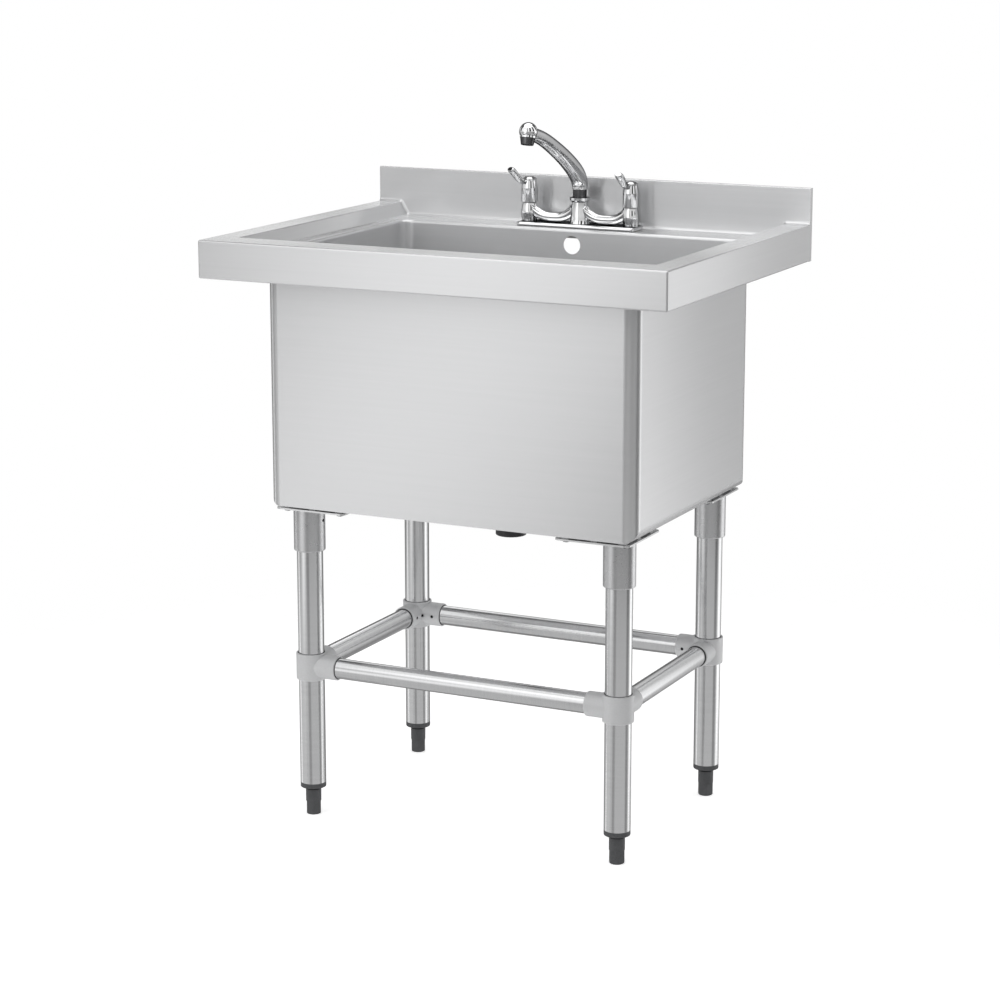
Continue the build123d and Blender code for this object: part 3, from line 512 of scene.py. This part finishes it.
# Angles are in degrees: turn is to the right of the camera and height is above the tent's middle.
# A lamp is full strength to wide and tall on either side, and gone after soft and fade more. Level
# is what it adds to the cloth, and below nought it is a dark flag. Lean moves it with the height.
tentLook = {
    "radius": 1.8,
    "middle": 0.55,
    "segments": 64,
    "rings": 32,
    "gain": 0.88,
    "least": 0.04,
    "floorSide": 0.64,  # level of the cloth low down, at the horizon and overhead
    "horizon": 0.44,
    "overhead": 1.14,
    "lowFade": (-22.0, -8.0),
    "highFade": (0.0, 34.0),
    "lamps": [
        dict(turn=-47, wide=3, soft=19, height=-3, tall=9, fade=12, level=0.86, lean=0.9),  # bowl's front
        dict(turn=-28, wide=5, soft=10, height=-28, tall=20, fade=8, level=-0.24),  # shade low on it
        dict(turn=111, wide=7, soft=6, height=-7, tall=18, fade=10, level=0.85),  # bowl's right side
        dict(turn=131, wide=7, soft=8, height=-3, tall=12, fade=8, level=0.14),
        dict(turn=-108, wide=3, soft=6, height=-25, tall=30, fade=10, level=0.72),  # bright line left on legs
        dict(turn=97, wide=5, soft=6, height=-18, tall=42, fade=10, level=0.80),  # and right
        dict(turn=-78, wide=14, soft=8, height=-27, tall=8, fade=8, level=0.10),
        dict(turn=68, wide=6, soft=8, height=-20, tall=22, fade=8, level=-0.30),  # shade beside that
        dict(turn=180, wide=38, soft=10, height=-35, tall=38, fade=8, level=-0.34),  # outline of the legs
        dict(turn=-174, wide=2, soft=5, height=15, tall=2, fade=5, level=1.00),  # glare on the left rim
        dict(turn=0, wide=180, soft=1, height=90, tall=26, fade=8, level=0.80),  # straight overhead
        dict(turn=-45, wide=14, soft=8, height=25, tall=9, fade=8, level=0.62),  # high at the front left
        dict(turn=40, wide=60, soft=8, height=-1, tall=10, fade=6, level=-0.20),  # darker horizon
        dict(turn=-122, wide=34, soft=10, height=-1, tall=10, fade=6, level=-0.20),
        dict(turn=180, wide=60, soft=20, height=48, tall=9, fade=8, level=-0.95),  # calms the bends
    ],
}

# Dark bars that break up the sky in polished chrome, left out where the sheet steel would show them
barLook = {
    "every": 45.0,
    "shift": -20.0,
    "wide": 10.0,
    "soft": 3.0,
    "low": 16.0,
    "high": 60.0,
    "fade": 6.0,
    "depth": 0.95,
    "clear": [dict(turn=180.0, wide=24.0, soft=8.0), dict(turn=-50.0, wide=30.0, soft=6.0)],
}


def apart(angle, centre, half=180.0):  # how far a bearing is from the nearest centre, every two halves round
    return abs(angle.paint.maths("WRAP", angle - centre, half, -half))


def within(distance, wide, soft, level=1.0):  # level as far as wide, and nothing after soft more
    return distance.paint.spread(distance, wide, wide + soft, level, 0.0)


def darkBars(paint, bearing, height, look):
    bar = (within(apart(bearing, look["shift"], look["every"] / 2), look["wide"], look["soft"], look["depth"])
           * paint.spread(height, look["low"], look["low"] + look["fade"], 0.0, 1.0)
           * within(height, look["high"], look["fade"]))
    for gap in look["clear"]:
        bar = bar * (1.0 - within(apart(bearing, gap["turn"]), gap["wide"], gap["soft"]))
    return bar


def tentCloth(paint, look):
    x, y, z = paint.parts(paint.vectorMaths("NORMALIZE", paint.place()))
    bearing = paint.maths("ARCTAN2", x, -1.0 * y) * math.degrees(1.0) - cameraAzimuth
    height = paint.maths("ARCSINE", z) * math.degrees(1.0)
    glow = (paint.spread(height, *look["lowFade"], look["floorSide"], look["horizon"])
            + paint.spread(height, *look["highFade"], 0.0, look["overhead"] - look["horizon"]))
    for lamp in look["lamps"]:
        leant = bearing - lamp.get("lean", 0.0) * height
        glow = glow + (within(apart(leant, lamp["turn"]), lamp["wide"], lamp["soft"])
                       * within(abs(height - lamp["height"]), lamp["tall"], lamp["fade"], lamp["level"]))
    glow = glow * (1.0 - darkBars(paint, bearing, height, barLook))
    return {"Color": (1, 1, 1, 1), "Strength": paint.maths("MAXIMUM", glow, look["least"]) * look["gain"]}


def lightTent(look):
    bpy.ops.mesh.primitive_uv_sphere_add(segments=look["segments"], ring_count=look["rings"],
                                         radius=look["radius"], location=(0, 0, look["middle"]))
    tent = bpy.context.object
    tent.name = "light_tent"
    cloth = material("tent_cloth", tentCloth, look, "ShaderNodeEmission")
    cloth.cycles.emission_sampling = "NONE"
    tent.data.materials.append(cloth)
    tent.visible_camera = False


def whiteBackdrop():
    world = bpy.data.worlds.new("white")
    bpy.context.scene.world = world
    world.use_nodes = True
    world.node_tree.nodes["Background"].inputs["Color"].default_value = (1, 1, 1, 1)
    bpy.context.scene.view_settings.view_transform = "Standard"


lightTent(tentLook)
whiteBackdrop()
print("studio painted")


# Camera

cameraLook = {
    "elevation": 12.7,
    "distance": 4.3083,
    "height": 0.4908,
    "aside": -0.0172,
    "focalPixels": 2800.3,
    "imagePixels": 1000,
    "sensor": 36.0,
    "farthest": 50.0,
}


def placeCamera(look):
    data = bpy.data.cameras.new("camera")
    data.sensor_width = look["sensor"]
    data.lens = look["focalPixels"] / look["imagePixels"] * look["sensor"]
    data.clip_end = look["farthest"]
    camera = bpy.data.objects.new("camera", data)
    bpy.context.scene.collection.objects.link(camera)
    turn = math.radians(cameraAzimuth)
    rise = math.radians(look["elevation"])
    back = Vector((math.sin(turn) * math.cos(rise), -math.cos(turn) * math.cos(rise), math.sin(rise)))
    aside = Vector((math.cos(turn), math.sin(turn), 0)) * look["aside"]
    camera.location = Vector((0, 0, look["height"])) + aside + back * look["distance"]
    camera.rotation_euler = (-back).to_track_quat("-Z", "Y").to_euler()
    bpy.context.scene.camera = camera


placeCamera(cameraLook)
print("camera placed")

print("ready")
